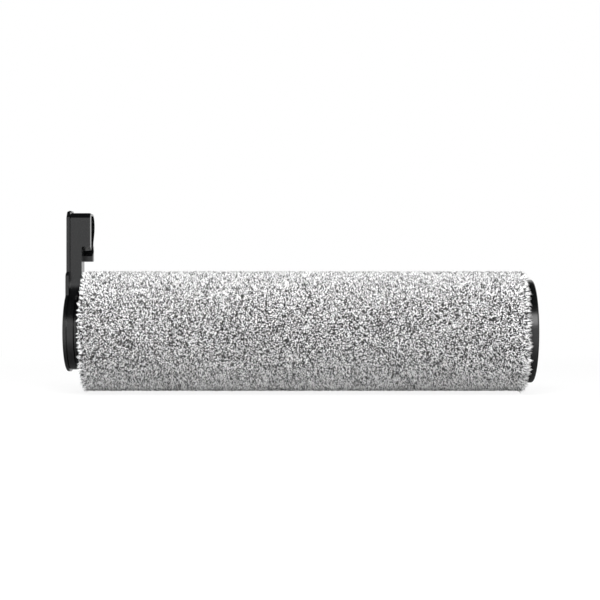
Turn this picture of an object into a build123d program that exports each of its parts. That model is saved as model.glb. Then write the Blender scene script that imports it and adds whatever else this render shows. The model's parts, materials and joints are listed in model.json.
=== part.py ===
from build123d import *
import os
from math import atan2, hypot, pi, radians, sqrt, tan

# Soft roller of a wet-floor vacuum, with the moulded bracket that carries its idle end.
# X runs along the roller's axis, from the bracket (-X) to the drive end (+X), and Z is up along the arm.
# The origin is on that axis, at the mouth of the drive socket. All sizes are in millimetres.

# Roller
overall_length = 232.0
plush_diameter = 60.0
pile_height = 7.0
pile_shoulder = 2.6
pile_gap = 0.3
tuft_count = 44
tuft_depth = 1.8
tube_wall = 2.0
glue_gap = 0.05

# Drive end cap and its socket
flange_diameter = 51.5
flange_thickness = 6.0
flange_edge = 1.0
dish_depth = 3.2
dish_rim = 4.6
dish_rib_count = 6
cap_wall = 2.2
cap_length = 16.0
cap_rib_width = 2.0
lug_width = 5.0
lug_length = 3.0
lug_gap = 0.1
socket_diameter = 14.0
socket_depth = 15.0
socket_wall = 2.6
socket_floor = 2.5
socket_boss_wall = 2.4
keyway_count = 4
keyway_width = 2.0
keyway_depth = 1.3
spline_count = 3
spline_width = 2.6
spline_height = 1.1

# Bracket
cover_thickness = 1.7
cover_overhang = 0.9
cover_edge = 0.7
cover_lip_height = 0.7
cover_lip_reach = 0.4
shadow_gap = 0.5
shadow_depth = 0.8
disc_diameter = 38.5
disc_thickness = 3.4
disc_wall = 1.8
disc_web = 1.5
disc_rib_count = 6
guard_wall = 0.9
arm_thickness = 5.9
arm_front = 5.6
arm_back = 4.8
arm_wall = 1.6
arm_blend = 12.0
arm_rib_width = 1.4
arm_rib_heights = (27.5, 33.5)
neck_half_width = 9.9
neck_height = 29.5
neck_corner = 3.0

# Block and catch at the top of the arm
block_top = 58.75
block_bottom = 40.0
block_back = 10.0
block_thickness = 10.1
block_front_bevel = 2.4
underside_rise = 2.0
underside_depth = 4.6
block_edge = 0.5
shoulder_back = 19.0
shoulder_round = 6.5
waist_back = 7.6
waist_height = 43.4
waist_step = 1.0
waist_round = 1.0
waist_room = 3.0
ledge_corner = 1.2
core_wall = 1.2
core_front_wall = 4.4
core_back_wall = 1.2
core_depth = 6.8
core_corner = 1.2
core_floor_drop = 1.6
ledge_bottom = 34.75
ledge_top = 37.5
catch_back_wall = 1.9

# Cover pegs and their sockets
peg_diameter = 2.4
peg_length = 1.5
peg_gap = 0.1
peg_boss_wall = 1.1
disc_peg_radius = 13.0
arm_peg_heights = (30.5, 47.0)

# Idle end cap
running_gap = 0.5
arm_gap = 0.6
collar_wall = 2.5
end_flange = 0.8
end_web = 2.5
hub_wall = 2.5
hub_lip = 1.9
idle_rib_count = 6

# Ball bearing
bearing_bore = 8.0
bearing_diameter = 22.0
bearing_width = 7.0
ball_diameter = 3.969
ball_count = 7
race_gap = 0.07
inner_land = 12.1
outer_land = 18.4
cage_thickness = 1.3
cage_width = 4.8
pocket_gap = 0.12
seal_thickness = 0.5
seal_inset = 0.2
seal_groove = 0.5
fit_gap = 0.02

# Axle and what holds the bearing on it
axle_diameter = 10.0
axle_head = 11.0
axle_head_thickness = 2.0
axle_head_inset = 0.4
axle_spacer = 1.6
axle_end_gap = 0.2
bearing_inset = 3.8
boss_wall = 3.5
washer_diameter = 11.6
washer_thickness = 1.2
screw_diameter = 4.0
screw_length = 8.0
screw_head = 7.6
screw_head_height = 2.5
screw_recess = 2.8
screw_recess_depth = 1.6

# Snap ring and seal
snap_thickness = 1.0
snap_width = 1.6
snap_seat = 0.6
snap_gap = 0.1
snap_opening = 40.0
snap_ear = 1.9
snap_ear_turn = 8.0
snap_eye = 1.1
hub_seal_width = 2.2
hub_seal_height = 2.8
hub_seal_lip = 2.4
hub_seal_lip_thickness = 0.6
hub_seal_gap = 0.3

# Radii worked out from the sizes above
plush_radius = plush_diameter / 2
tube_radius = plush_radius - pile_height
tube_bore = tube_radius - tube_wall
plug_radius = tube_bore - glue_gap
flange_radius = flange_diameter / 2
dish_radius = flange_radius - dish_rim
socket_radius = socket_diameter / 2
insert_radius = socket_radius + socket_wall
socket_end = -socket_depth - socket_floor
socket_boss = insert_radius + socket_boss_wall
disc_radius = disc_diameter / 2
collar_radius = disc_radius - running_gap
guard_radius = collar_radius - collar_wall - running_gap
boss_radius = axle_diameter / 2 + boss_wall
seat_radius = bearing_diameter / 2 + fit_gap
hub_radius = seat_radius + hub_wall
pitch_radius = (bearing_bore + bearing_diameter) / 4
ball_radius = ball_diameter / 2
race_radius = ball_radius + race_gap
seal_step_radius = outer_land / 2 + seal_groove
peg_boss_radius = peg_diameter / 2 + peg_gap + peg_boss_wall

# The slanted back of the arm's head, the round that fits its shoulder and leaves room for the waist,
# and where its flat top ends
back_run = shoulder_back - waist_back
back_drop = block_top - waist_height
back_slant = back_run / back_drop
half_corner = atan2(back_drop, back_run) / 2
shoulder_fit = min(shoulder_round, (hypot(back_run, back_drop) - waist_room) * tan(half_corner))
flat_end = shoulder_back - shoulder_fit / tan(half_corner)

# Stations along X, from the drive face back to the outside of the cover
cover_face = -overall_length
seam = cover_face + cover_thickness
disc_face = seam + disc_thickness
arm_face = seam + arm_thickness
block_face = seam + block_thickness
collar_end = disc_face + running_gap
idle_face = arm_face + arm_gap
tube_left = idle_face + end_flange
tube_right = -flange_thickness
bearing_left = idle_face + bearing_inset
bearing_right = bearing_left + bearing_width
bearing_middle = bearing_left + bearing_width / 2
boss_end = bearing_left - axle_spacer
snap_right = bearing_left - snap_gap
snap_left = snap_right - snap_thickness

X_AXIS = Axis.X

# How far a cutting or joining shape runs past the face that it meets
overrun = 1.0


def turned(*corners):
    """A solid turned about the roller's axis from the (x, radius) corners of its section."""
    return revolve(make_face(Polyline(*corners, close=True)), X_AXIS)


def ring(x_start, x_end, outer, inner=0.0):
    """A ring or disc between two stations."""
    return turned((x_start, inner), (x_end, inner), (x_end, outer), (x_start, outer))


def around(solid, count, first=0.0):
    """Copies of a solid, evenly spaced about the roller's axis."""
    return [Rot(first + 360 * i / count, 0, 0) * solid for i in range(count)]


def bar(x_start, x_end, r_start, r_end, width):
    """A straight bar along X that stands out from the axis along +Z, from one radius to another."""
    middle = ((x_start + x_end) / 2, 0, (r_start + r_end) / 2)
    return Pos(*middle) * Box(x_end - x_start, width, r_end - r_start)


def prism(face, x_start, x_end):
    """A flat side outline, drawn as (y, z), carried along X from one station to another."""
    return extrude(Plane.YZ.offset(x_start) * face, x_end - x_start)


def rod(x_start, x_end, radius, y=0.0, z=0.0):
    """A round rod along X, away from the roller's axis."""
    return Pos(0, y, z) * ring(x_start, x_end, radius)


def outline(corners, radii):
    """A flat side outline through (y, z) corners, with a rounding at each."""
    return make_face(FilletPolyline(*corners, radius=radii, close=True))


def panel(y_start, y_end, z_start, z_end):
    """A flat rectangle between two depths and two heights."""
    return Pos((y_start + y_end) / 2, (z_start + z_end) / 2) * Rectangle(y_end - y_start, z_end - z_start)


def hexagon(across_flats):
    """A flat six-sided outline about the roller's axis."""
    return RegularPolygon(across_flats / 2, 6, major_radius=False)


def core_tube():
    """The tube under the plush, notched at both ends for the caps' lugs."""
    tube = ring(tube_left, tube_right, tube_radius, tube_bore)
    notch_width = lug_width + 2 * lug_gap
    notch_end = lug_length + lug_gap
    notch = bar(-notch_end, notch_end, tube_bore - overrun, tube_radius + overrun, notch_width)
    return tube - around(Pos(tube_right, 0, 0) * notch, 2) - around(Pos(tube_left, 0, 0) * notch, 2)


def plush_sleeve():
    """The nap: a thick soft sleeve with rounded shoulders, parted into tufts along both ends."""
    left = idle_face
    right = tube_right - pile_gap
    inner = tube_radius + glue_gap
    section = FilletPolyline(
        (left, inner), (right, inner), (right, plush_radius), (left, plush_radius),
        radius=[0, 0, pile_shoulder, pile_shoulder], close=True)
    sleeve = revolve(make_face(section), X_AXIS)
    half_width = pi * plush_radius / tuft_count / 2
    parting = Polyline((-overrun, -half_width), (0, -half_width), (tuft_depth, 0),
                       (0, half_width), (-overrun, half_width), close=True)
    wedge = Pos(0, 0, inner - overrun) * extrude(make_face(parting), pile_height + 2 * overrun)
    left_partings = around(Pos(left, 0, 0) * wedge, tuft_count)
    right_partings = around(Pos(right, 0, 0) * Rot(0, 0, 180) * wedge, tuft_count)
    return sleeve - left_partings - right_partings


def lugs(x_start, x_end):
    """Two keys on a cap's plug that sit in the tube's end notches."""
    lug = bar(x_start, x_end, plug_radius - cap_wall / 2, tube_radius, lug_width)
    return around(lug & ring(x_start, x_end, tube_radius - lug_gap), 2)


def drive_end_cap():
    """The flanged cap: a dished and ribbed face, a plug inside the tube, and the socket's boss."""
    flange = ring(tube_right, 0, flange_radius)
    flange = fillet(flange.edges().filter_by(GeomType.CIRCLE), flange_edge)
    flange -= ring(-dish_depth, overrun, dish_radius, socket_boss)
    plug_end = tube_right - cap_length
    plug = ring(plug_end, tube_right, plug_radius, plug_radius - cap_wall)
    boss = ring(socket_end - glue_gap, 0, socket_boss)
    inside = socket_boss - overrun
    face_rib = bar(-dish_depth - overrun, -flange_edge, inside, dish_radius + overrun, cap_rib_width)
    inner_rib = bar(socket_end, tube_right, inside, plug_radius - cap_wall / 2, cap_rib_width)
    cap = flange + plug + boss + around(face_rib, dish_rib_count) + around(inner_rib, dish_rib_count)
    cap += lugs(tube_right - lug_length, tube_right)
    cap -= ring(socket_end - glue_gap, overrun, insert_radius + glue_gap)
    cap -= around(spline(socket_end, overrun, glue_gap), spline_count)
    return cap + ring(socket_end - glue_gap - socket_floor, socket_end - glue_gap, socket_boss)


def spline(x_start, x_end, gap=0.0):
    """One key on the outside of the socket, or its groove when a gap is given."""
    top = insert_radius + spline_height + gap
    return bar(x_start, x_end, insert_radius - overrun, top, spline_width + 2 * gap)


def drive_socket_insert():
    """The hard socket: a round hole with keyways for the drive dog, splined into the cap's boss."""
    insert = ring(socket_end, 0, insert_radius) + around(spline(socket_end, 0), spline_count)
    insert -= ring(-socket_depth, overrun, socket_radius)
    keyway = bar(-socket_depth, overrun, 0, socket_radius + keyway_depth, keyway_width)
    return insert - around(keyway, keyway_count, 180 / keyway_count)


def idle_end_cap():
    """The cap that turns on the bearing: a collar outside, a flange on the tube's end, a plug and a hub."""
    plug_end = tube_left + cap_length
    hub_end = bearing_right + fit_gap + hub_lip
    cap = ring(idle_face, tube_left, tube_radius - lug_gap)
    cap += ring(tube_left, plug_end, plug_radius)
    cap += ring(collar_end, idle_face, collar_radius)
    cap -= ring(idle_face + end_web, plug_end, plug_radius - cap_wall)
    cap -= ring(collar_end, idle_face, collar_radius - collar_wall)
    cap += ring(idle_face, hub_end, hub_radius)
    rib_start = idle_face + end_web / 2
    rib = bar(rib_start, hub_end - overrun, hub_radius - overrun, plug_radius - cap_wall / 2, cap_rib_width)
    cap += around(rib, idle_rib_count)
    cap += lugs(tube_left, tube_left + lug_length)
    cap -= ring(collar_end, bearing_right + fit_gap, seat_radius)
    cap -= ring(collar_end, hub_end, seal_step_radius)
    return cap - ring(snap_left - snap_gap, snap_right + snap_gap, seat_radius + snap_seat)


def ball_groove():
    """The round groove that the balls run in."""
    return Pos(bearing_middle, 0, 0) * Rot(0, 90, 0) * Torus(pitch_radius, race_radius)


def bearing_inner_ring():
    """The ring that sits on the axle."""
    return ring(bearing_left, bearing_right, inner_land / 2, bearing_bore / 2) - ball_groove()


def bearing_outer_ring():
    """The ring that sits in the hub, with a step at each side for a seal."""
    outer = ring(bearing_left, bearing_right, bearing_diameter / 2, outer_land / 2) - ball_groove()
    step = seal_inset + seal_thickness
    outer -= ring(bearing_left - overrun, bearing_left + step, seal_step_radius)
    return outer - ring(bearing_right - step, bearing_right + overrun, seal_step_radius)


def bearing_balls():
    """The balls on their pitch circle."""
    ball = Pos(bearing_middle, 0, pitch_radius) * Sphere(ball_radius)
    return Compound(children=around(ball, ball_count))


def bearing_cage():
    """A ring with a round pocket for each ball."""
    half_width = cage_width / 2
    half_wall = cage_thickness / 2
    cage = ring(bearing_middle - half_width, bearing_middle + half_width,
                pitch_radius + half_wall, pitch_radius - half_wall)
    pocket = Pos(bearing_middle, 0, pitch_radius) * Sphere(ball_radius + pocket_gap)
    return cage - around(pocket, ball_count)


def bearing_seal(x_start):
    """A flat seal held in the outer ring, just clear of the inner ring."""
    return ring(x_start, x_start + seal_thickness, seal_step_radius - fit_gap, inner_land / 2 + pocket_gap)


def bearing_seal_left():
    """The seal towards the bracket."""
    return bearing_seal(bearing_left + seal_inset)


def bearing_seal_right():
    """The seal towards the inside of the tube."""
    return bearing_seal(bearing_right - seal_inset - seal_thickness)


def bearing_snap_ring():
    """An open spring ring in the hub's groove, with an eared hole at each side of its gap."""
    outer = seat_radius + snap_seat - fit_gap
    inner = outer - snap_width
    snap = ring(snap_left, snap_right, outer, inner)
    half_gap = 2 * outer * tan(radians(snap_opening / 2))
    wedge = make_face(Polyline((0, 0), (half_gap, 2 * outer), (-half_gap, 2 * outer), close=True))
    snap -= prism(wedge, snap_left - overrun, snap_right + overrun)
    ear_radius = outer - snap_ear
    for side in (-1, 1):
        turn = Rot(side * (snap_opening / 2 + snap_ear_turn), 0, 0)
        snap += turn * rod(snap_left, snap_right, snap_ear, 0, ear_radius)
        snap -= turn * rod(snap_left - overrun, snap_right + overrun, snap_eye / 2, 0, ear_radius)
    return snap


def stub_axle():
    """A stepped steel pin: six-sided head, body in the bracket's boss, journal for the bearing."""
    head_start = seam + axle_head_inset
    head_end = head_start + axle_head_thickness
    head = prism(hexagon(axle_head), head_start, head_end)
    axle = head + ring(head_end, bearing_left, axle_diameter / 2)
    axle_end = bearing_right - axle_end_gap
    axle += ring(bearing_left, axle_end, bearing_bore / 2 - fit_gap)
    return axle - ring(axle_end - screw_length, bearing_right, screw_diameter / 2 + fit_gap)


def axle_washer():
    """The washer that keeps the bearing's inner ring on the axle."""
    hole = screw_diameter / 2 + fit_gap
    return ring(bearing_right, bearing_right + washer_thickness, washer_diameter / 2, hole)


def axle_screw():
    """A pan-head screw with a six-sided recess."""
    under_head = bearing_right + washer_thickness
    top = under_head + screw_head_height
    head = ring(under_head, top, screw_head / 2)
    head = fillet(head.edges().filter_by(GeomType.CIRCLE).sort_by(X_AXIS)[-1], screw_head_height / 3)
    head -= prism(hexagon(screw_recess), top - screw_recess_depth, top)
    return head + ring(under_head - screw_length, under_head, screw_diameter / 2)


def hub_seal():
    """A rubber ring on the bracket's boss, with a thin lip that leans against the idle end cap."""
    inner = boss_radius + fit_gap
    outer = inner + hub_seal_height
    back = disc_face + hub_seal_width
    tip = idle_face - hub_seal_gap
    return turned(
        (disc_face, inner), (back, inner), (back, outer - hub_seal_lip_thickness),
        (tip, outer + hub_seal_lip - hub_seal_lip_thickness), (tip, outer + hub_seal_lip),
        (back - hub_seal_lip_thickness, outer), (disc_face, outer))


def flare(side, reach):
    """Where one side of the arm runs into the disc: a corner cut by a round that touches both."""
    rise = sqrt((disc_radius - reach) * (disc_radius + reach + 2 * arm_blend))
    centre = (side * (reach + arm_blend), rise)
    return make_face(Polyline((0, 0), (0, rise), centre, close=True)) - Pos(*centre) * Circle(arm_blend)


def head_outline(front_corners):
    """The arm's head from the side: round at the top of its back, waisted, and straight down to the ledge."""
    over_the_top = [(-arm_front, block_top - block_front_bevel), (-arm_front + block_front_bevel, block_top),
                    (shoulder_back, block_top), (waist_back, waist_height),
                    (block_back, waist_height - waist_step), (block_back, ledge_bottom)]
    rounds = [0, 0, shoulder_fit, waist_round, waist_round, ledge_corner]
    return outline(over_the_top + front_corners, rounds + [0] * len(front_corners))


def arm_outline():
    """The bracket from the side: a disc, an arm that flares into it, and a head that leans back."""
    head = head_outline([(-arm_front, ledge_bottom)])
    arm = panel(-arm_front, arm_back, 0, block_bottom)
    return Circle(disc_radius) + arm + flare(-1, arm_front) + flare(1, arm_back) + head


def peg_places():
    """The cover's pegs, two beside the hub and two in the arm: depth, height and where their boss ends."""
    middle = (arm_back - arm_front) / 2
    beside_hub = [(y, 0, disc_face - disc_web / 2) for y in (-disc_peg_radius, disc_peg_radius)]
    return beside_hub + [(middle, height, arm_face - arm_wall / 2) for height in arm_peg_heights]


def end_bracket():
    """The bracket's moulding, hollow on its outer side, with the boss, the cored block and the catch."""
    shape = arm_outline()
    inset = offset(shape, -shadow_depth)
    body = prism(inset, seam, seam + shadow_gap) + prism(shape, seam + shadow_gap, arm_face)
    body -= ring(disc_face, arm_face + overrun, disc_radius + running_gap)
    body -= ring(seam - overrun, disc_face - disc_web, disc_radius - disc_wall)
    hollow = offset(shape, -arm_wall) & panel(-disc_radius, disc_radius, disc_radius, block_bottom)
    body -= prism(hollow, seam - overrun, arm_face - arm_wall)
    body += arm_ribs()
    body += block()
    boss_start = seam + axle_head_inset
    body += ring(boss_start, boss_end, boss_radius)
    rib = bar(boss_start, disc_face, boss_radius - overrun, disc_radius - disc_wall / 2, arm_rib_width)
    body += around(rib, disc_rib_count)
    body += ring(disc_face - disc_web, collar_end + running_gap, guard_radius, guard_radius - guard_wall)
    for y, z, boss_floor in peg_places():
        body += rod(seam, boss_floor, peg_boss_radius, y, z)
        body -= rod(seam - overrun, seam + peg_length + peg_gap, peg_diameter / 2 + peg_gap, y, z)
    body -= ring(seam - overrun, boss_end + overrun, axle_diameter / 2 + fit_gap)
    head_end = boss_start + axle_head_thickness
    return body - prism(hexagon(axle_head + 2 * fit_gap), seam - overrun, head_end)


def arm_ribs():
    """Cross ribs that stiffen the hollow arm."""
    ribs = Part()
    for height in arm_rib_heights:
        strip = panel(-arm_front + arm_wall / 2, arm_back - arm_wall / 2, height, height + arm_rib_width)
        ribs += prism(strip, seam + shadow_gap, arm_face - arm_wall / 2)
    return ribs


def block():
    """The block at the arm's top: cored from its inner side, and open below to the catch's ramped slot."""
    head = head_outline(
        [(arm_back, ledge_bottom), (arm_back, block_bottom), (-arm_front + underside_depth, block_bottom),
         (-arm_front, block_bottom + underside_rise)])
    solid = prism(head, arm_face - arm_wall, block_face)
    solid = fillet(solid.faces().sort_by(X_AXIS)[-1].edges(), block_edge)
    corners = core_corners()
    core = outline(corners, [core_corner, core_corner, shoulder_fit - core_wall, core_corner])
    solid -= prism(core, block_face - core_depth, block_face + overrun)
    return solid - prism(throat(corners[0], corners[-1]), arm_face, block_face + overrun)


def core_corners():
    """The core's corners, from its front floor round: its back runs beside the head's slanted back."""
    front = -arm_front + core_front_wall
    top = block_top - core_wall
    floor = block_bottom + underside_rise + core_wall
    low_corner = max(floor - core_floor_drop, waist_height - waist_step)
    wall_across = core_back_wall * sqrt(1 + back_slant ** 2)
    top_back = shoulder_back - back_slant * core_wall - wall_across
    low_back = top_back - back_slant * (top - low_corner)
    return [(front, floor), (front, top), (top_back, top), (low_back, low_corner)]


def throat(front_floor, back_floor):
    """The way from the core's floor down to the slot, which ramps up from the ledge to the back wall."""
    front, floor = front_floor
    back, low_corner = back_floor
    slot_end = block_back - catch_back_wall
    return make_face(Polyline(
        (front, floor + core_corner), (front, ledge_top), (arm_back, ledge_top), (slot_end, block_bottom),
        (back, low_corner), (back + back_slant * core_corner, low_corner + core_corner), close=True))


def side_cover():
    """The outer plate: the bracket's outline with a shouldered neck, a rounded edge, a top lip and pegs."""
    neck = outline(
        [(-neck_half_width, 0), (-neck_half_width, neck_height),
         (neck_half_width, neck_height), (neck_half_width, 0)],
        [0, neck_corner, neck_corner, 0])
    shape = offset(arm_outline(), cover_overhang) + neck
    plate = prism(shape, cover_face, seam)
    plate = fillet(plate.faces().sort_by(X_AXIS)[0].edges(), cover_edge)
    lip_bottom = block_top + cover_overhang / 2
    lip = panel(-arm_front + block_front_bevel, flat_end - cover_lip_height,
                lip_bottom, lip_bottom + cover_lip_height)
    plate += prism(lip, seam - cover_thickness / 2, seam + cover_lip_reach)
    for y, z, _ in peg_places():
        plate += rod(seam - cover_thickness / 2, seam + peg_length, peg_diameter / 2, y, z)
    return plate


PIECES = (
    core_tube, plush_sleeve, drive_end_cap, drive_socket_insert, idle_end_cap,
    bearing_inner_ring, bearing_outer_ring, bearing_balls, bearing_cage,
    bearing_seal_left, bearing_seal_right, bearing_snap_ring,
    stub_axle, axle_washer, axle_screw, hub_seal, end_bracket, side_cover,
)

os.makedirs("parts", exist_ok=True)
for piece in PIECES:
    solid = piece()
    export_step(solid, f"parts/{piece.__name__}.step")
    print(f"{piece.__name__}: {solid.volume:.1f} mm3")
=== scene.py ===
# %% [markdown]
# # A soft floor roller, from bare solids to plush
#
# The object is the roller of a wet-floor vacuum: a plush sleeve on a tube, a black drive cap at its right
# end, and a black bracket with a bearing at its left end. The solids are already at their real size and
# place, so this lesson only loads them and never moves them. What is left for Blender is the look: the
# pile has to become more than a hundred thousand strands, and each plastic, rubber and metal piece needs
# a finish of its own.

# %% Load the solids
import json
import math

import bpy
import numpy as np
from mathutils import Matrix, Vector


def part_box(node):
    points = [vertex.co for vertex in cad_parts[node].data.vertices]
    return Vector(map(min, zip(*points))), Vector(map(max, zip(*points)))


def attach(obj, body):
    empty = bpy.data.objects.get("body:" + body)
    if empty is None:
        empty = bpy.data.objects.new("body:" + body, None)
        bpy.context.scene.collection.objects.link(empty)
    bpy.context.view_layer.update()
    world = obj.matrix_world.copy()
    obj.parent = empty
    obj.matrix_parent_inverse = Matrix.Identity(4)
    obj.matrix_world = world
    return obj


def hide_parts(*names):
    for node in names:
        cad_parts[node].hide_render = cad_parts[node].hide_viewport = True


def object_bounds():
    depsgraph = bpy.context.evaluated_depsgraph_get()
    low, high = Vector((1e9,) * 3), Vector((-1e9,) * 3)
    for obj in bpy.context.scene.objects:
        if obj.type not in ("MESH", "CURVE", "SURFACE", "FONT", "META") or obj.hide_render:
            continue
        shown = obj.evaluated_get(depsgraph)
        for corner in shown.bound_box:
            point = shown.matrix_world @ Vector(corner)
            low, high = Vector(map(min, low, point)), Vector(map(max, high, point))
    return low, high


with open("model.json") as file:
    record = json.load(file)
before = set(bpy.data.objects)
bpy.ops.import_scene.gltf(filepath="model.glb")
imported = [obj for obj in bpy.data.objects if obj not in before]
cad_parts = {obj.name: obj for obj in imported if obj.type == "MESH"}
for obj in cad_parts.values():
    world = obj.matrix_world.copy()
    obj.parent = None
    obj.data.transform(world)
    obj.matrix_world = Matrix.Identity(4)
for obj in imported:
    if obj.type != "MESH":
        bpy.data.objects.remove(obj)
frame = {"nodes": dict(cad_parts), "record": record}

MM = 0.001
nodes = frame["nodes"]
cad_box = [list(corner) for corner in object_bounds()]
print("solids:", len(nodes), "box in mm:", [[round(v / MM, 1) for v in corner] for corner in cad_box])

# %% [markdown]
# ## Small tools for shader trees
#
# Every finish below is a tree of nodes. Written out in full, each node takes three or four lines, which
# hides the idea behind the finish. Two short helpers keep a node to one line: one adds a node and sets
# its values, the other runs a wire from one socket to another.


# %% Node helpers
def add_node(tree, kind, inputs=None, **settings):
    """Add one node to a tree, set its input sockets by name or number and its other settings by name."""
    node = tree.nodes.new(kind)
    for setting, value in settings.items():
        setattr(node, setting, value)
    for socket, value in (inputs or {}).items():
        node.inputs[socket].default_value = value
    return node


def wire(tree, source, target):
    """Run a wire from an output socket to an input socket."""
    tree.links.new(source, target)


def empty_material(name):
    """A new material whose tree holds nothing yet."""
    material = bpy.data.materials.new(name)
    material.use_nodes = True
    material.node_tree.nodes.clear()
    return material


def empty_group(name, inputs, outputs):
    """A new node group with its own sockets, and the two nodes that stand for them inside it.

    inputs and outputs are lists of (name, kind, start value), where kind is Float or Color.
    """
    group = bpy.data.node_groups.new(name, "ShaderNodeTree")
    for direction, sockets in (("INPUT", inputs), ("OUTPUT", outputs)):
        for socket_name, kind, start in sockets:
            socket_type = "NodeSocket" + kind
            socket = group.interface.new_socket(socket_name, in_out=direction, socket_type=socket_type)
            socket.default_value = start
    return group, add_node(group, "NodeGroupInput"), add_node(group, "NodeGroupOutput")


GREY = (0.5, 0.5, 0.5, 1.0)
FINISH_INPUTS = [("Scale", "Float", 1000.0), ("Dark", "Color", GREY), ("Pale", "Color", GREY),
                 ("Smoothest", "Float", 0.3), ("Roughest", "Float", 0.5)]
FINISH_OUTPUTS = [("Colour", "Color", GREY), ("Roughness", "Float", 0.5), ("Height", "Float", 0.0)]
print("helpers ready, a finish group has", len(FINISH_INPUTS), "inputs and", len(FINISH_OUTPUTS), "outputs")

# %% [markdown]
# ## Moulded grain
#
# The bracket, the caps, the tube and the socket are moulded plastic. The steel mould is etched, so the
# plastic comes out with a satin grain of a few tenths of a millimetre, and the melt leaves slow, cloudy
# changes of gloss. A picture of grain would stretch over the curved faces, so the grain is noise in
# Object coordinates, which is the same size everywhere. Five materials use it, so it is a node group: the
# values change, the idea doesn't.

# %% Moulded grain group
CLOUD_SCALE = 70.0
GRAIN_SHARE = 0.55


def end_of_finish(group, inside, outside, fine, slow):
    """The last part of a finish group: fine and slow patterns become colour, roughness and height.

    Colour runs from Dark to Pale with a mix of both patterns, roughness from Smoothest to Roughest with
    the slow one, and the height is the fine pattern itself.
    """
    blend = add_node(group, "ShaderNodeMix", {"Factor": 1.0 - GRAIN_SHARE}, data_type="FLOAT")
    wire(group, fine, blend.inputs["A"])
    wire(group, slow, blend.inputs["B"])
    colour = add_node(group, "ShaderNodeMix", data_type="RGBA")
    wire(group, blend.outputs["Result"], colour.inputs["Factor"])
    wire(group, inside.outputs["Dark"], colour.inputs[6])
    wire(group, inside.outputs["Pale"], colour.inputs[7])
    gloss = add_node(group, "ShaderNodeMapRange")
    wire(group, slow, gloss.inputs["Value"])
    wire(group, inside.outputs["Smoothest"], gloss.inputs["To Min"])
    wire(group, inside.outputs["Roughest"], gloss.inputs["To Max"])
    wire(group, colour.outputs[2], outside.inputs["Colour"])
    wire(group, gloss.outputs["Result"], outside.inputs["Roughness"])
    wire(group, fine, outside.inputs["Height"])


def build_moulded_grain():
    """Grain is fine noise at the given scale, and cloud is noise of about 14 mm."""
    group, inside, outside = empty_group("Moulded Grain", FINISH_INPUTS, FINISH_OUTPUTS)
    place = add_node(group, "ShaderNodeTexCoord")
    grain = add_node(group, "ShaderNodeTexNoise", {"Detail": 3.0, "Roughness": 0.6})
    cloud = add_node(group, "ShaderNodeTexNoise", {"Scale": CLOUD_SCALE, "Detail": 4.0})
    wire(group, place.outputs["Object"], grain.inputs["Vector"])
    wire(group, place.outputs["Object"], cloud.inputs["Vector"])
    wire(group, inside.outputs["Scale"], grain.inputs["Scale"])
    end_of_finish(group, inside, outside, grain.outputs["Fac"], cloud.outputs["Fac"])
    return group


moulded_grain = build_moulded_grain()
print(moulded_grain.name, "has", len(moulded_grain.nodes), "nodes")

# %% [markdown]
# ## Turned marks
#
# The axle, the washer, the screw and the bearing rings are turned on a lathe. The tool leaves very fine
# rings about the axis that they turn on, which here is the roller's own axis, X. The distance from that
# axis gives the rings: it is the length of the (0, y, z) part of the place, and noise along that single
# number makes lines of uneven depth, as a worn tool does.

# %% Turned marks group


def build_turned_marks():
    """Marks are one-dimensional noise on the distance from the X axis, plus the distance along it."""
    group, inside, outside = empty_group("Turned Marks", FINISH_INPUTS, FINISH_OUTPUTS)
    place = add_node(group, "ShaderNodeTexCoord")
    across = add_node(group, "ShaderNodeVectorMath", {1: (0.0, 1.0, 1.0)}, operation="MULTIPLY")
    distance = add_node(group, "ShaderNodeVectorMath", operation="LENGTH")
    along = add_node(group, "ShaderNodeSeparateXYZ")
    station = add_node(group, "ShaderNodeMath", operation="ADD")
    marks = add_node(group, "ShaderNodeTexNoise", {"Detail": 2.0}, noise_dimensions="1D")
    cloud = add_node(group, "ShaderNodeTexNoise", {"Scale": 2 * CLOUD_SCALE, "Detail": 3.0})
    wire(group, place.outputs["Object"], across.inputs[0])
    wire(group, across.outputs["Vector"], distance.inputs[0])
    wire(group, place.outputs["Object"], along.inputs["Vector"])
    wire(group, distance.outputs["Value"], station.inputs[0])
    wire(group, along.outputs["X"], station.inputs[1])
    wire(group, station.outputs["Value"], marks.inputs["W"])
    wire(group, inside.outputs["Scale"], marks.inputs["Scale"])
    wire(group, place.outputs["Object"], cloud.inputs["Vector"])
    end_of_finish(group, inside, outside, marks.outputs["Fac"], cloud.outputs["Fac"])
    return group


turned_marks = build_turned_marks()
print(turned_marks.name, "has", len(turned_marks.nodes), "nodes")

# %% [markdown]
# ## The rigid finishes
#
# The black plastic is the one that the eye meets first. Facing the camera it is only a little brighter
# than black, because it mirrors a few hundredths of the white room, and at a glancing angle it turns
# nearly white. A shader with a dark colour and a low roughness does that by itself, so no grey is painted
# in. The rubber is the same grain with more roughness, and the metals are the turned marks with the
# shader set to metal.

# %% Rigid materials


def finished(name, group, values, bump_strength, bump_depth, metallic=0.0, specular=0.5):
    """A material whose shader takes its colour, roughness and bump from one finish group."""
    material = empty_material(name)
    tree = material.node_tree
    finish = add_node(tree, "ShaderNodeGroup", node_tree=group)
    for socket, value in values.items():
        finish.inputs[socket].default_value = value
    bump = add_node(tree, "ShaderNodeBump", {"Strength": bump_strength, "Distance": bump_depth})
    shader = add_node(tree, "ShaderNodeBsdfPrincipled",
                      {"Metallic": metallic, "Specular IOR Level": specular})
    output = add_node(tree, "ShaderNodeOutputMaterial")
    wire(tree, finish.outputs["Colour"], shader.inputs["Base Color"])
    wire(tree, finish.outputs["Roughness"], shader.inputs["Roughness"])
    wire(tree, finish.outputs["Height"], bump.inputs["Height"])
    wire(tree, bump.outputs["Normal"], shader.inputs["Normal"])
    wire(tree, shader.outputs["BSDF"], output.inputs["Surface"])
    return material


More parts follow.
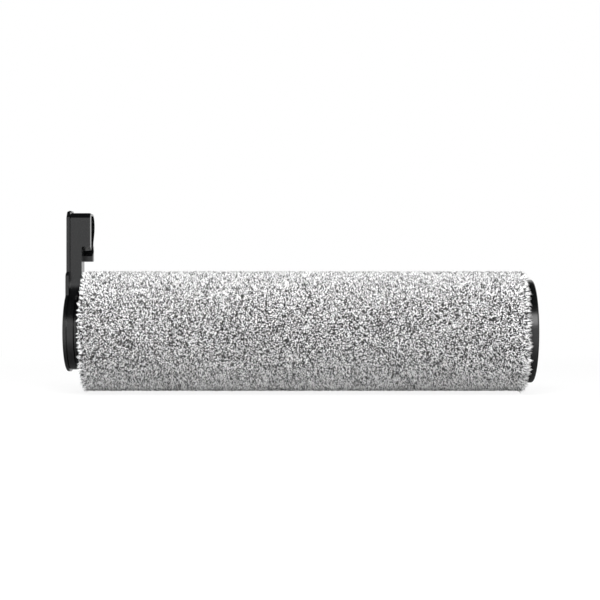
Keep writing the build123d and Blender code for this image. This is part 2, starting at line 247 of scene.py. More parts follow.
def finish_values(scale, dark, pale, smoothest, roughest):
    """The values of a finish group, with grey levels or (red, green, blue) for its two colours."""
    colours = [(level,) * 3 if isinstance(level, float) else level for level in (dark, pale)]
    return {"Scale": scale, "Dark": (*colours[0], 1.0), "Pale": (*colours[1], 1.0),
            "Smoothest": smoothest, "Roughest": roughest}


BLACK_DARK = (0.0010, 0.0011, 0.0012)
BLACK_PALE = (0.0024, 0.0026, 0.0028)
rigid = {
    "bracket_black": finished(
        "satin_black_bracket", moulded_grain,
        finish_values(2600.0, BLACK_DARK, BLACK_PALE, 0.18, 0.26), 0.10, 0.02 * MM, specular=0.6),
    "cap_black": finished(
        "satin_black_cap", moulded_grain,
        finish_values(2900.0, BLACK_DARK, BLACK_PALE, 0.18, 0.26), 0.10, 0.02 * MM, specular=0.6),
    "tube_grey": finished(
        "extruded_grey", moulded_grain, finish_values(900.0, 0.26, 0.34, 0.40, 0.55), 0.15, 0.03 * MM),
    "socket_grey": finished(
        "hard_grey", moulded_grain, finish_values(2200.0, 0.10, 0.14, 0.35, 0.50), 0.20, 0.03 * MM),
    "seal_rubber": finished(
        "black_rubber", moulded_grain, finish_values(1500.0, 0.018, 0.032, 0.60, 0.80), 0.30, 0.04 * MM),
    "bearing_steel": finished(
        "ground_steel", turned_marks,
        finish_values(9000.0, 0.62, 0.74, 0.10, 0.18), 0.05, 0.01 * MM, metallic=1.0),
    "axle_steel": finished(
        "turned_steel", turned_marks,
        finish_values(5000.0, 0.48, 0.62, 0.24, 0.36), 0.15, 0.02 * MM, metallic=1.0),
    "spring_steel": finished(
        "dark_spring_steel", turned_marks,
        finish_values(7000.0, 0.16, 0.26, 0.28, 0.42), 0.10, 0.01 * MM, metallic=1.0),
}
print("rigid finishes:", ", ".join(material.name for material in rigid.values()))

# %% [markdown]
# ## Give the solids their finishes
#
# The record lists each solid with the name of its material slot, and the finishes above are kept under
# the same names. So one loop dresses all of them, and a solid added later takes its finish without a new
# line here. The plush sleeve is left out, because fibres will stand for it.

# %% Dress the solids
dressed = [(part["node"], part["material_slot"]) for part in frame["record"]["subparts"]
           if part["material_slot"] in rigid]
for node_name, slot_name in dressed:
    nodes[node_name].data.materials.clear()
    nodes[node_name].data.materials.append(rigid[slot_name])
print("dressed", len(dressed), "of", len(nodes), "solids")

# %% [markdown]
# ## The line that the strands stand on
#
# The pile is knitted into a backing, which is glued on the tube. It is so dense that the eye goes no
# deeper than the last two millimetres, where single strands part from the mass. So the mass is one closed
# body, the ground, and only the strands above it are modelled one by one. Cut along its length, the
# ground shows one line: up the left end, round a shoulder, along the roller, round the other shoulder and
# down the right end. Everything in the nap is placed by two numbers, the distance along that line and the
# angle about the axis.

# %% Ground line
nap_low, nap_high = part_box("plush_sleeve")
tube_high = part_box("core_tube")[1]
flange_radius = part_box("drive_end_cap")[1].z
flange_face = tube_high.x

ARM_GAP = 0.6 * MM
FOOT_GAP = 0.2 * MM
PILE = 2.0 * MM
END_PILE_LEFT = 0.9 * MM
END_PILE_RIGHT = 0.3 * MM
SHOULDER = 1.0 * MM
arm_plane = nap_low.x - ARM_GAP
ground_radius = nap_high.z - PILE
ground_left = nap_low.x + END_PILE_LEFT
ground_right = nap_high.x - END_PILE_RIGHT
foot_radius = tube_high.z + FOOT_GAP
end_rise = ground_radius - SHOULDER - foot_radius
quarter = SHOULDER * math.pi / 2
straight = ground_right - ground_left - 2 * SHOULDER
line_length = 2 * end_rise + 2 * quarter + straight


def ground_line(s):
    """Place (x, r) and outward direction, as an angle, at distance s along the ground line.

    Each straight run adds its own clipped distance. Each shoulder adds radius x (1 - cosine) one way and
    radius x sine the other way. The outward angle is 0 towards -X, a quarter turn outwards and a half turn
    towards +X, so it is the sum of the two shoulders' turns.
    """
    up = np.clip(s, 0.0, end_rise)
    first_turn = np.clip((s - end_rise) / SHOULDER, 0.0, math.pi / 2)
    along = np.clip(s - end_rise - quarter, 0.0, straight)
    second_turn = np.clip((s - end_rise - quarter - straight) / SHOULDER, 0.0, math.pi / 2)
    down = np.clip(s - end_rise - 2 * quarter - straight, 0.0, end_rise)
    x = ground_left + SHOULDER * (1 - np.cos(first_turn)) + along + SHOULDER * np.sin(second_turn)
    r = foot_radius + up + SHOULDER * np.sin(first_turn) - SHOULDER * (1 - np.cos(second_turn)) - down
    return x, r, first_turn + second_turn


print(f"ground line {line_length / MM:.1f} mm long, at radius {ground_radius / MM:.1f} mm")

# %% [markdown]
# ## From arrays to a mesh
#
# Every piece of the nap turns with the roller, and is worked out as whole arrays: all of its points, and
# for each triangle the numbers of its three points. Blender could be given them one at a time, which
# takes minutes at this count. So foreach_set copies each array into the mesh in one go.


# %% Mesh helpers
def add_piece(name, points, triangles, material, uv=None):
    """Put whole arrays of points and triangles into the mesh of a new piece of the nap."""
    mesh = bpy.data.meshes.new(name)
    mesh.vertices.add(len(points))
    mesh.vertices.foreach_set("co", points.astype(np.float32).ravel())
    mesh.loops.add(triangles.size)
    mesh.loops.foreach_set("vertex_index", triangles.astype(np.int32).ravel())
    mesh.polygons.add(len(triangles))
    mesh.polygons.foreach_set("loop_start", np.arange(0, triangles.size, 3, dtype=np.int32))
    mesh.polygons.foreach_set("use_smooth", np.ones(len(triangles), dtype=bool))
    mesh.update(calc_edges=True)
    if uv is not None:
        layer = mesh.uv_layers.new(name="OFBake")
        layer.uv.foreach_set("vector", uv[triangles].astype(np.float32).ravel())
    mesh.materials.append(material)
    piece = bpy.data.objects.new(name, mesh)
    bpy.context.scene.collection.objects.link(piece)
    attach(piece, "roller")
    return piece


def around_axis(x, r, angle):
    """Points at station x, radius r and angle about the X axis: (x, r cosine, r sine)."""
    return np.stack([x + 0 * angle, r * np.cos(angle), r * np.sin(angle)], axis=-1)


def wrapped_grid(rows, columns):
    """Triangles of a grid that joins its last row to its first and its last column to its first."""
    row, column = np.meshgrid(np.arange(rows), np.arange(columns), indexing="ij")
    corner = row * columns + column
    beside = row * columns + (column + 1) % columns
    above = (row + 1) % rows * columns + column
    across = (row + 1) % rows * columns + (column + 1) % columns
    halves = np.stack([corner, beside, across, corner, across, above], axis=-1)
    return halves.reshape(-1, 3)



# %% [markdown]
# ## The ground
#
# Between the strands one sees down to the mass of the pile, dark with shadow; that shade is painted into
# its near-black colour. It is the ground line carried round the axis: a grid of distance by angle, closed
# both ways, where the last row joins the first along the tube. Points are packed closer at the ends, by a
# cosine, because that is where the line bends.

# %% Ground mesh
GROUND_ROWS = 72
GROUND_COLUMNS = 144
# Painted shade: near-black colours for the pile's mass, which is pale fibre lying in shadow.
GROUND_SHADE_DARK = (0.006, 0.006, 0.006, 1)
GROUND_SHADE_PALE = (0.03, 0.03, 0.03, 1)


def ground_material():
    """Mass of the pile in painted shade, near black: fine noise on Object coordinates for colour and height,
    rough all over.
    """
    material = empty_material("nap_ground")
    tree = material.node_tree
    place = add_node(tree, "ShaderNodeTexCoord")
    mass = add_node(tree, "ShaderNodeTexNoise", {"Scale": 1400.0, "Detail": 3.0})
    colours = add_node(tree, "ShaderNodeMix", {6: GROUND_SHADE_DARK, 7: GROUND_SHADE_PALE}, data_type="RGBA")
    bump = add_node(tree, "ShaderNodeBump", {"Strength": 0.6, "Distance": 0.2 * MM})
    shader = add_node(tree, "ShaderNodeBsdfPrincipled", {"Roughness": 0.9, "Specular IOR Level": 0.1})
    output = add_node(tree, "ShaderNodeOutputMaterial")
    wire(tree, place.outputs["Object"], mass.inputs["Vector"])
    wire(tree, mass.outputs["Fac"], colours.inputs["Factor"])
    wire(tree, mass.outputs["Fac"], bump.inputs["Height"])
    wire(tree, colours.outputs[2], shader.inputs["Base Color"])
    wire(tree, bump.outputs["Normal"], shader.inputs["Normal"])
    wire(tree, shader.outputs["BSDF"], output.inputs["Surface"])
    return material


row_place = line_length * (1 - np.cos(np.linspace(0, math.pi, GROUND_ROWS))) / 2
line_x, line_r, _ = ground_line(row_place)
column_angle = np.linspace(0, 2 * math.pi, GROUND_COLUMNS, endpoint=False)
ground_points = around_axis(line_x[:, None], line_r[:, None], column_angle[None, :]).reshape(-1, 3)
ground_triangles = wrapped_grid(GROUND_ROWS, GROUND_COLUMNS)
ground = add_piece("nap_ground", ground_points, ground_triangles, ground_material())
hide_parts("plush_sleeve")
print("ground:", len(ground.data.vertices), "points,", len(ground.data.polygons), "triangles")

# %% [markdown]
# ## Where the strands stand
#
# Seen from outside a pale strand is a white dash with dark about it, and that salt and pepper is what
# makes plush look like plush. Dashes strewn at random would clump, and a square grid would show its rows.
# Seeds in a sunflower solve this: each one turns by the golden angle from the last, so no two line up.
# Here the same rule winds round the roller, and a little jitter takes away what is left of the order.

# %% Places and lean
rng = np.random.default_rng(7)
girth = 2 * math.pi * ground_radius
GOLDEN_ANGLE = math.pi * (3 - math.sqrt(5))
JITTER = 0.12
WAVES = 12
LONGEST_WAVE = 9.0 * MM
SHORTEST_WAVE = 3.0 * MM
WAVE_LEAN = 0.04
wave_number = 2 * math.pi / rng.uniform(SHORTEST_WAVE, LONGEST_WAVE, WAVES)
wave_way = rng.uniform(0.0, 2 * math.pi, WAVES)
wave_start = rng.uniform(0.0, 2 * math.pi, WAVES)
wave_along = wave_number * np.cos(wave_way)
wave_around = np.round(wave_number * np.sin(wave_way) * ground_radius)


def golden_places(spacing):
    """Places along the line and round the axis: the k-th is k steps along and k golden angles round.

    The step is the line's length shared by the count, and the count is the nap's area over spacing squared.
    """
    count = int(line_length * girth / spacing ** 2)
    jitter = JITTER * spacing * rng.standard_normal((2, count))
    s = np.clip((np.arange(count) + 0.5) * line_length / count + jitter[0], 0.0, line_length)
    angle = np.arange(count) * GOLDEN_ANGLE % (2 * math.pi) + jitter[1] / ground_radius
    return s, angle


def shared_lean(s, angle):
    """Lean along the line and round the axis: waves over the unrolled nap, summed.

    Each wave is the sine of (its number along x s + its whole number around x angle + its start), and
    pushes the strands along its own crests, square to the way it runs, so they neither crowd nor part
    anywhere. Whole numbers around make the waves meet where the nap closes on itself.
    """
    height = np.sin(np.outer(s, wave_along) + np.outer(angle, wave_around) + wave_start)
    push = WAVE_LEAN * np.stack([-np.sin(wave_way), np.cos(wave_way)], axis=-1)
    return (height @ push).T


def random_lean(count, least, most):
    """Leans of a random size between two bounds, in random directions."""
    way = rng.uniform(0.0, 2 * math.pi, count)
    size = rng.uniform(least, most, count)
    return size * np.cos(way), size * np.sin(way)


print("waves over the nap:", WAVES, "from", SHORTEST_WAVE / MM, "to", LONGEST_WAVE / MM, "mm long")

# %% [markdown]
# ## From root to tip
#
# A strand of length L that leans sideways by w rises by the square root of L squared less w squared. It
# leaves the ground upright and bends over on the way, so at a share t of its length it has done t of its
# rise and t squared of its lean. Two places need care: at the bracket nothing may reach the arm that the
# roller turns beside, and at the drive end a strand either stops at the flange or, above its rim, hangs
# over it as in the photograph.

# %% Strand spines
ARM_CLEARANCE = 0.15 * MM
FLANGE_CLEARANCE = 0.1 * MM
MOST_LEAN = 0.7
BEND = 0.55
ROOT_DEPTH = 0.4 * MM


def keep_clear(points):
    """Hold points off the arm's plane on the left, and off the flange's face on the right inside its rim."""
    x = np.maximum(points[..., 0], arm_plane + ARM_CLEARANCE)
    inside_rim = np.hypot(points[..., 1], points[..., 2]) < flange_radius + FLANGE_CLEARANCE
    x = np.where(inside_rim, np.minimum(x, flange_face - FLANGE_CLEARANCE), x)
    return np.concatenate([x[..., None], points[..., 1:]], axis=-1)


def strand_spines(s, angle, length, side_s, side_a):
    """Root, bend and tip of each strand, from its place, its length and its sideways reach."""
    side = np.hypot(side_s, side_a)
    tame = np.minimum(1.0, MOST_LEAN * length / np.maximum(side, 1e-9))
    side_s, side_a = side_s * tame, side_a * tame
    rise = np.sqrt(length ** 2 - side_s ** 2 - side_a ** 2)
    x, r, turn = ground_line(s)
    outward = np.stack([-np.cos(turn), np.sin(turn) * np.cos(angle), np.sin(turn) * np.sin(angle)], axis=-1)
    onward = np.stack([np.sin(turn), np.cos(turn) * np.cos(angle), np.cos(turn) * np.sin(angle)], axis=-1)
    around = np.stack([0 * angle, -np.sin(angle), np.cos(angle)], axis=-1)
    root = around_axis(x, r, angle) - ROOT_DEPTH * outward
    sideways = onward * side_s[:, None] + around * side_a[:, None]
    return [keep_clear(root + share * outward * rise[:, None] + share ** 2 * sideways)
            for share in (0.0, BEND, 1.0)]


print("arm's plane at", round(arm_plane / MM, 2), "mm, flange's face at", round(flange_face / MM, 2), "mm")

# %% [markdown]
# ## One mesh for many strands
#
# A strand is a bundle of fibres that cling together. It is modelled as a folded leaf of four triangles: a
# root, two side points where it bends, and a tip. The fold lies on the outer side of the bend, so the
# leaf is thick there and never turns inside out. Each strand's colour comes from a UV map: V is the
# height from root to tip and U is one of a set of shades, so a single small map paints every strand dark
# at its root and pale at its tip.

# %% Leaves
SHADES = 48
MARGIN = 0.05
COLUMN = (1 - 2 * MARGIN) / SHADES
HALF_FOLD = math.radians(60)
LEAF_FACES = np.array([[0, 2, 1], [0, 1, 3], [1, 2, 3], [2, 0, 3]])
LEAF_CORNERS = np.array([0.5, 0.2, 0.8, 0.5])
LEAF_HEIGHTS = np.array([0.02, BEND, BEND + 0.02, 0.98])
SLIGHT = 1e-6 * np.array([0.31, 0.77, 0.56])
LEAST_VOLUME = (0.1 * MM) ** 3


def unit(vectors):
    """The same directions with a length of one."""
    return vectors / np.linalg.norm(vectors, axis=1, keepdims=True)


def leaf_points(spines, width):
    """The four points of each leaf, from its spine's root, bend and tip.

    With w the width and f half the fold, the side points stand at w (cosine f, plus or minus sine f) from
    the bend, measured towards the outer side of the bend and across the leaf. A leaf that is pressed flat
    is left out.
    """
    root, bend, tip = spines
    way = unit(tip - root)
    behind = bend - root - BEND * (tip - root) + SLIGHT
    outer = unit(behind - way * np.sum(behind * way, axis=1, keepdims=True))
    across = np.cross(way, outer)
    fold = bend + width[:, None] * math.cos(HALF_FOLD) * outer
    half_width = width[:, None] * math.sin(HALF_FOLD) * across
    points = keep_clear(np.stack([root, fold - half_width, fold + half_width, tip], axis=1))
    edges = points[:, 1:] - points[:, :1]
    volume = np.sum(np.cross(edges[:, 0], edges[:, 1]) * edges[:, 2], axis=1)
    return points[volume > LEAST_VOLUME]


def leaf_uv(shade):
    """U from the shade's column, a little apart for the two sides, and V from the height."""
    column = np.clip(np.round(shade * (SHADES - 1)), 0, SHADES - 1)
    u = MARGIN + (column[:, None] + LEAF_CORNERS[None, :]) * COLUMN
    v = np.broadcast_to(LEAF_HEIGHTS[None, :], u.shape)
    return np.stack([u, v], axis=-1)


def add_leaves(name, points, uv):
    """One piece from the points and UVs of many leaves, four points and four triangles to each."""
    faces = 4 * np.arange(len(points))[:, None, None] + LEAF_FACES[None]
    return add_piece(name, points.reshape(-1, 3), faces.reshape(-1, 3), nap_pile, uv.reshape(-1, 2))


print("a strand has", len(LEAF_FACES), "triangles and one of", SHADES, "shades")

# %% [markdown]
# ## The pile's finish
#
# The pile is pale grey polyester: almost white at the tips, and dark down between the strands, where
# light hardly comes. Shadows alone don't make it dark enough, since white fibres light each other, so the
# root end is darker in the colour too. A ramp on V gives that, and U, as a factor, makes some strands
# nearly white and others dark.

# %% Pile material
ROOT_COLOUR = (0.010, 0.010, 0.011, 1)
LOW_COLOUR = (0.02, 0.02, 0.021, 1)
HIGH_COLOUR = (0.90, 0.90, 0.90, 1)
TIP_COLOUR = (0.94, 0.94, 0.94, 1)
LOW_TO = 0.40
HIGH_FROM = 0.66


def pile_material():
    """Colour = root-to-tip ramp on V, times U. A little sheen stands for light along the fibre."""
    material = empty_material("nap_pile")
    tree = material.node_tree
    uv_map = add_node(tree, "ShaderNodeUVMap", uv_map="OFBake")
    parts = add_node(tree, "ShaderNodeSeparateXYZ")
    height = add_node(tree, "ShaderNodeValToRGB")
    height.color_ramp.elements[0].color = ROOT_COLOUR
    height.color_ramp.elements[1].color = TIP_COLOUR
    height.color_ramp.elements.new(LOW_TO).color = LOW_COLOUR
    height.color_ramp.elements.new(HIGH_FROM).color = HIGH_COLOUR
    tint = add_node(tree, "ShaderNodeVectorMath", operation="SCALE")
    shader = add_node(tree, "ShaderNodeBsdfPrincipled",
                      {"Roughness": 0.65, "Specular IOR Level": 0.2, "Sheen Weight": 0.1})
    output = add_node(tree, "ShaderNodeOutputMaterial")
    wire(tree, uv_map.outputs["UV"], parts.inputs["Vector"])
    wire(tree, parts.outputs["Y"], height.inputs["Fac"])
    wire(tree, height.outputs["Color"], tint.inputs[0])
    wire(tree, parts.outputs["X"], tint.inputs["Scale"])
    wire(tree, tint.outputs["Vector"], shader.inputs["Base Color"])
    wire(tree, shader.outputs["BSDF"], output.inputs["Surface"])
    return material


nap_pile = pile_material()
print("pile material:", nap_pile.name)

# %% [markdown]
# ## Grow the nap in bands
#
# The nap is a mix of pale strands and dark ones; the dark ones are partly dark yarn and partly painted
# shade, standing for the shadowed gaps between strands. What is seen of a strand is its outer end, so that
# end stands on the even places, and the root is moved back by most of the lean. At the drive end the
# strands are longer and lean out over the flange, and at the bracket they are cut short. All of them in one
# mesh would be too heavy to open, so the nap is cut into bands along the roller. The bands meet under the
# strands and can't be told apart.

# %% Nap bands
BANDS = 7
STRAND_SPACING = 0.50 * MM
STRAND_LENGTH = 2.6 * MM
STRAND_WIDTH = 0.24 * MM
LENGTH_SPREAD = 0.06
LENGTH_LIMITS = (0.85, 1.15)
WIDTH_LIMITS = (0.75, 1.25)
LEAST_LEAN = 0.25
SEEN_SHARE = 0.8
# Painted shade in part: the dark strands are partly dark yarn and partly stand for shadowed gaps.
DARK_YARN_AND_SHADE_SHARE = 0.46
DARK_UP_TO = 0.04
PALE_FROM = 0.65
LEFT_TRIM = 0.62
RIGHT_GROWTH = 0.35
RIGHT_LEAN = 0.45
RIGHT_FADE = 1.5 * MM


def strand_shades(count):
    """Random shade per strand: dark (dark yarn and painted shade) for DARK_YARN_AND_SHADE_SHARE, else pale.
    """
    dark = rng.uniform(0.0, 1.0, count) < DARK_YARN_AND_SHADE_SHARE
    return np.where(dark, rng.uniform(0.0, DARK_UP_TO, count), rng.uniform(PALE_FROM, 1.0, count))


def end_length(s):
    """Strands are shorter where they point at the arm, and longer where they point at the flange."""
    along_axis = np.cos(ground_line(s)[2])
    return 1.0 - LEFT_TRIM * np.maximum(along_axis, 0.0) + RIGHT_GROWTH * np.maximum(-along_axis, 0.0)


def end_lean(s):
    """Lean towards the flange, whole at the right shoulder and fading away from it by an exponential."""
    return RIGHT_LEAN * np.exp(np.minimum(s - right_corner, 0.0) / RIGHT_FADE)


def grown_strands(s, angle):
    """Leaf points of the strands at these places, each with its own length, width and lean."""
    count = len(s)
    wave_s, wave_a = shared_lean(s, angle)
    own_s, own_a = random_lean(count, LEAST_LEAN, MOST_LEAN)
    length = STRAND_LENGTH * np.clip(rng.normal(1.0, LENGTH_SPREAD, count), *LENGTH_LIMITS) * end_length(s)
    side_s, side_a = length * (wave_s + own_s + end_lean(s)), length * (wave_a + own_a)
    root_s = np.clip(s - SEEN_SHARE * side_s, 0.0, line_length)
    spines = strand_spines(root_s, angle - SEEN_SHARE * side_a / ground_radius, length, side_s, side_a)
    return leaf_points(spines, STRAND_WIDTH * rng.uniform(*WIDTH_LIMITS, count))


right_corner = end_rise + quarter + straight
strand_s, strand_angle = golden_places(STRAND_SPACING)
band_edges = np.linspace(0, line_length, BANDS + 1)
band_edges[-1] += MM
for band in range(BANDS):
    here = (strand_s >= band_edges[band]) & (strand_s < band_edges[band + 1])
    band_points = grown_strands(strand_s[here], strand_angle[here])
    band_uv = leaf_uv(strand_shades(len(band_points)))
    nap_band = add_leaves(f"nap_band_{band + 1}", band_points, band_uv)
    print(nap_band.name, len(band_points), "strands,", len(nap_band.data.polygons), "triangles")

# %% [markdown]
# ## Tufts at the two ends
#
# Where the sleeve is cut, strands stick together in small points that hang over the black parts beside
# them. So each end gets a ring of tufts. The strands of one tuft start around its place and reach for the
# same tip: each one's sideways reach is the tuft's own, less most of its distance from the tuft's middle.

# %% End tufts
END_TUFTS = 84
TUFT_STRANDS = 6
TUFT_SPREAD = 0.45 * MM
TUFT_GATHER = 0.95
TUFT_JITTER = 0.35
TUFT_SIDEWAYS = 0.35
TUFT_LENGTHS = (0.85, 1.0)
TUFT_REACHES = (0.6, 1.0)
TUFT_SHADES = (0.75, 1.0)


def end_tufts(first, last, shortest, longest, reach):
    """Leaf points of one end's tufts, between two distances along the line, that lean by reach along it."""
    shape = (END_TUFTS, TUFT_STRANDS)
    step = 2 * math.pi / END_TUFTS
    tuft_angle = (np.arange(END_TUFTS) + rng.uniform(-TUFT_JITTER, TUFT_JITTER, END_TUFTS)) * step
    tuft_s = rng.uniform(first, last, END_TUFTS)
    tuft_length = rng.uniform(shortest, longest, END_TUFTS)
    apart_s, apart_a = TUFT_SPREAD * rng.standard_normal((2, *shape))
    s = np.clip(tuft_s[:, None] + apart_s, 0.0, line_length).ravel()
    angle = (tuft_angle[:, None] + apart_a / ground_radius).ravel()
    length = (tuft_length[:, None] * rng.uniform(*TUFT_LENGTHS, shape)).ravel()
    own_s = (reach * tuft_length * rng.uniform(*TUFT_REACHES, END_TUFTS))[:, None]
    own_a = (tuft_length * rng.uniform(-TUFT_SIDEWAYS, TUFT_SIDEWAYS, END_TUFTS))[:, None]
    side_s = (own_s - TUFT_GATHER * apart_s).ravel()
    side_a = (own_a - TUFT_GATHER * apart_a).ravel()
    return leaf_points(strand_spines(s, angle, length, side_s, side_a), np.full(len(s), STRAND_WIDTH))


left_tufts = end_tufts(first=end_rise + 0.6 * quarter, last=end_rise + quarter + 1.2 * MM,
                       shortest=2.8 * MM, longest=3.9 * MM, reach=-0.7)
right_tufts = end_tufts(first=right_corner + 0.2 * quarter, last=right_corner + 0.9 * quarter,
                        shortest=3.4 * MM, longest=5.0 * MM, reach=0.5)
end_points = np.concatenate([left_tufts, right_tufts])
end_uv = leaf_uv(rng.uniform(*TUFT_SHADES, len(end_points)))
nap_ends = add_leaves("nap_end_tufts", end_points, end_uv)
print(nap_ends.name, 2 * END_TUFTS, "tufts,", len(nap_ends.data.polygons), "triangles")

# %% [markdown]
# ## Floor
#
# The photograph is a catalogue picture: the object alone in white. The floor is pale and plain. For the
# camera most of its white is its own, so it reaches the paper white of the picture, and near the roller
# the rest is lit, so a soft shadow stays there. In mirrors the floor carries a painted shade beside the
# roller, as the low parts of the black discs show, and is white further out.

# %% Floor
WHITE = (1, 1, 1, 1)
FLOOR_COLOUR = (0.86, 0.86, 0.86, 1)
FLOOR_SIZE = 2.4
OWN_WHITE = 0.87
LIT_TO = 0.35
ALL_OWN_FROM = 0.70
# Painted shade: the glow that mirrors see beside the roller, rising to white further out.
MIRROR_FLOOR_PAINTED_SHADE = 0.08
PAINTED_SHADE_TO = 0.02
WHITE_FROM = 0.08
FLOOR_GAP = 1.4 * MM


def seen_directly(tree):
    """1 for rays from the camera, from mirrors and through glass, else 0."""
    path = add_node(tree, "ShaderNodeLightPath")
    first = add_node(tree, "ShaderNodeMath", operation="MAXIMUM")
    both = add_node(tree, "ShaderNodeMath", operation="MAXIMUM")
    wire(tree, path.outputs["Is Camera Ray"], first.inputs[0])
    wire(tree, path.outputs["Is Glossy Ray"], first.inputs[1])
    wire(tree, first.outputs["Value"], both.inputs[0])
    wire(tree, path.outputs["Is Transmission Ray"], both.inputs[1])
    return both.outputs["Value"]


def floor_material():
    """Matt white, with most of its white as a glow of strength 1 that only direct rays see.

    The share of the glow rises to the whole with the distance from the origin. In mirrors the glow itself
    rises with the distance from the roller's axis, from a painted shade to white.
    """
    material = empty_material("studio_floor")
    tree = material.node_tree
    matt = add_node(tree, "ShaderNodeBsdfDiffuse", {"Color": FLOOR_COLOUR})
    path = add_node(tree, "ShaderNodeLightPath")
    place = add_node(tree, "ShaderNodeTexCoord")
    across = add_node(tree, "ShaderNodeSeparateXYZ")
    distance = add_node(tree, "ShaderNodeMath", operation="ABSOLUTE")
    # Painted shade: in mirrors the floor's glow is dimmed near the roller.
    mirror_painted_shade = add_node(tree, "ShaderNodeMapRange", {"From Min": PAINTED_SHADE_TO, "From Max": WHITE_FROM,
                                                     "To Min": MIRROR_FLOOR_PAINTED_SHADE, "To Max": 1.0})
    level = add_node(tree, "ShaderNodeMix", {"B": 1.0}, data_type="FLOAT")
    glow = add_node(tree, "ShaderNodeEmission", {"Color": WHITE})
    away = add_node(tree, "ShaderNodeVectorMath", operation="LENGTH")
    own = add_node(tree, "ShaderNodeMapRange", {"From Min": LIT_TO, "From Max": ALL_OWN_FROM,
                                                "To Min": OWN_WHITE, "To Max": 1.0})
    share = add_node(tree, "ShaderNodeMath", operation="MULTIPLY")
    blend = add_node(tree, "ShaderNodeMixShader")
    output = add_node(tree, "ShaderNodeOutputMaterial")
    wire(tree, place.outputs["Object"], across.inputs["Vector"])
    wire(tree, across.outputs["Y"], distance.inputs[0])
    wire(tree, distance.outputs["Value"], mirror_painted_shade.inputs["Value"])
    wire(tree, path.outputs["Is Camera Ray"], level.inputs["Factor"])
    wire(tree, mirror_painted_shade.outputs["Result"], level.inputs["A"])
    wire(tree, level.outputs["Result"], glow.inputs["Strength"])
    wire(tree, place.outputs["Object"], away.inputs[0])
    wire(tree, away.outputs["Value"], own.inputs["Value"])
    wire(tree, seen_directly(tree), share.inputs[0])
    wire(tree, own.outputs["Result"], share.inputs[1])
    wire(tree, share.outputs["Value"], blend.inputs["Fac"])
    wire(tree, matt.outputs["BSDF"], blend.inputs[1])
    wire(tree, glow.outputs["Emission"], blend.inputs[2])
    wire(tree, blend.outputs["Shader"], output.inputs["Surface"])
    material.cycles.emission_sampling = "NONE"
    return material


floor_level = cad_box[0][2] - FLOOR_GAP
half = FLOOR_SIZE / 2
floor_mesh = bpy.data.meshes.new("studio_floor")
floor_mesh.from_pydata([(-half, -half, floor_level), (half, -half, floor_level), (half, half, floor_level),
                        (-half, half, floor_level)], [], [(0, 1, 2, 3)])
floor_mesh.materials.append(floor_material())
floor = bpy.data.objects.new("studio_floor", floor_mesh)
bpy.context.scene.collection.objects.link(floor)
print("floor at", round(floor_level / MM, 1), "mm, and", FLOOR_SIZE, "m wide")

# %% [markdown]
# ## Room
#
# Glossy black shows what is around it, so the room decides how the bracket looks. In the photograph the
# faces that look at the camera are grey and the bevels that look up are black, so the room is white at
# eye level and dark overhead. A picture of a studio could be wrapped round the scene, but a ramp on the
# height of the ray is enough. The nap gets only about a third of this light, so that the lamps give each
# strand a bright and a dark side.

# %% Room
WHITE_TO = 0.50
DARK_FROM = 0.68
OVERHEAD = 0.03
ROOM_LIGHT = 0.30
world = bpy.data.worlds.new("studio")
bpy.context.scene.world = world
world.use_nodes = True
room = world.node_tree
room.nodes.clear()
path = add_node(room, "ShaderNodeLightPath")
sky = add_node(room, "ShaderNodeTexCoord")
height = add_node(room, "ShaderNodeSeparateXYZ")
overhead = add_node(room, "ShaderNodeMapRange",
                    {"From Min": WHITE_TO, "From Max": DARK_FROM, "To Min": 1.0, "To Max": OVERHEAD})
shown = add_node(room, "ShaderNodeMapRange", {"To Min": ROOM_LIGHT, "To Max": 1.0})
level = add_node(room, "ShaderNodeMath", operation="MULTIPLY")
seen = add_node(room, "ShaderNodeMath", operation="MAXIMUM")
background = add_node(room, "ShaderNodeBackground", {"Color": WHITE})
output = add_node(room, "ShaderNodeOutputWorld")
wire(room, sky.outputs["Generated"], height.inputs["Vector"])
wire(room, height.outputs["Z"], overhead.inputs["Value"])
wire(room, seen_directly(room), shown.inputs["Value"])
wire(room, overhead.outputs["Result"], level.inputs[0])
wire(room, shown.outputs["Result"], level.inputs[1])
wire(room, level.outputs["Value"], seen.inputs[0])
wire(room, path.outputs["Is Camera Ray"], seen.inputs[1])
wire(room, seen.outputs["Value"], background.inputs["Strength"])
wire(room, background.outputs["Background"], output.inputs["Surface"])
print("the room is white up to", WHITE_TO, "of the ray's height, and", OVERHEAD, "overhead")

# %% [markdown]
# ## Lamps
#
# Four soft boxes light the roller. The key hangs above and in front, and gives each strand its shadow.
# The fill stands low in front for the under side of the nap, and a third box does the same at the back.
# Mirrors don't see these three, as the plastic's upper bevels are black in the photograph. The fourth, up
# and to the right of the camera, is the one that they see: it draws the highlight on the drive cap's rim.

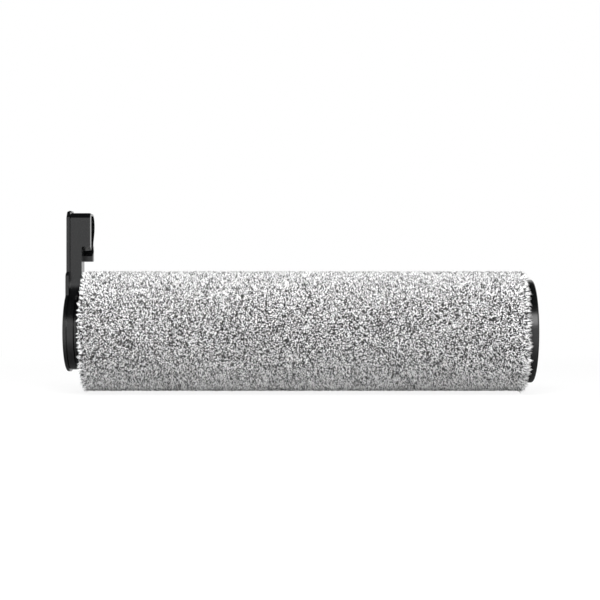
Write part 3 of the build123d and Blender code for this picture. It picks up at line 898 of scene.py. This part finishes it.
# %% Lamps
KEY_BOX = {"place": (-0.05, -0.80, 0.72), "size": (0.5, 0.35), "watts": 15.0, "in_mirrors": False}
FILL_BOX = {"place": (-0.15, -1.20, 0.04), "size": (1.2, 0.8), "watts": 20.5, "in_mirrors": False}
BACK_BOX = {"place": (0.0, 1.20, 0.10), "size": (1.6, 0.6), "watts": 27.0, "in_mirrors": False}
FRONT_BOX = {"place": (0.28, -0.95, 0.48), "size": (0.75, 0.45), "watts": 4.5, "in_mirrors": True}
middle = [(low + high) / 2 for low, high in zip(*cad_box)]


def soft_box(name, place, size, watts, in_mirrors):
    """A rectangular lamp that looks at the roller's middle, from a place measured along X from there."""
    lamp = bpy.data.lights.new(name, "AREA")
    lamp.shape = "RECTANGLE"
    lamp.size, lamp.size_y = size
    lamp.energy = watts
    box = bpy.data.objects.new(name, lamp)
    bpy.context.scene.collection.objects.link(box)
    box.location = (middle[0] + place[0], place[1], place[2])
    way = [-distance for distance in place]
    yaw = math.atan2(way[1], way[0]) - math.pi / 2
    pitch = math.atan2(way[2], math.hypot(way[0], way[1])) + math.pi / 2
    box.rotation_euler = (pitch, 0.0, yaw)
    box.visible_glossy = in_mirrors
    box.visible_camera = False
    return box


soft_box("key_box", **KEY_BOX)
soft_box("fill_box", **FILL_BOX)
soft_box("back_box", **BACK_BOX)
soft_box("front_box", **FRONT_BOX)

# %% [markdown]
# ## Camera
#
# In the photograph the disc of the bracket is seen a little larger than the arm above it, by just what a
# camera 0.8 m away would give. The left edge of the picture shows the arm's inner face and the right edge
# shows the drive cap's rim, so the camera stands at the roller's middle and looks straight at it,
# half-way up the object.

# %% Camera
CAMERA_DISTANCE = 0.8
EYE_LEVEL = 15.5 * MM
camera = bpy.data.cameras.new("photo_camera")
camera.lens = 96.0
camera.sensor_width = 36.0
eye = bpy.data.objects.new("photo_camera", camera)
eye.location = (middle[0], -CAMERA_DISTANCE, EYE_LEVEL)
eye.rotation_euler = (math.pi / 2, 0.0, 0.0)
bpy.context.scene.collection.objects.link(eye)
bpy.context.scene.camera = eye
bpy.context.scene.view_settings.view_transform = "Standard"
print("camera at", [round(v, 3) for v in eye.location])

# %% [markdown]
# ## Finish
#
# The last line brings the view layer up to date. The nap may stand a little proud of the solid that it
# replaces, and nothing else may grow.

# %% Finish
bpy.context.view_layer.update()
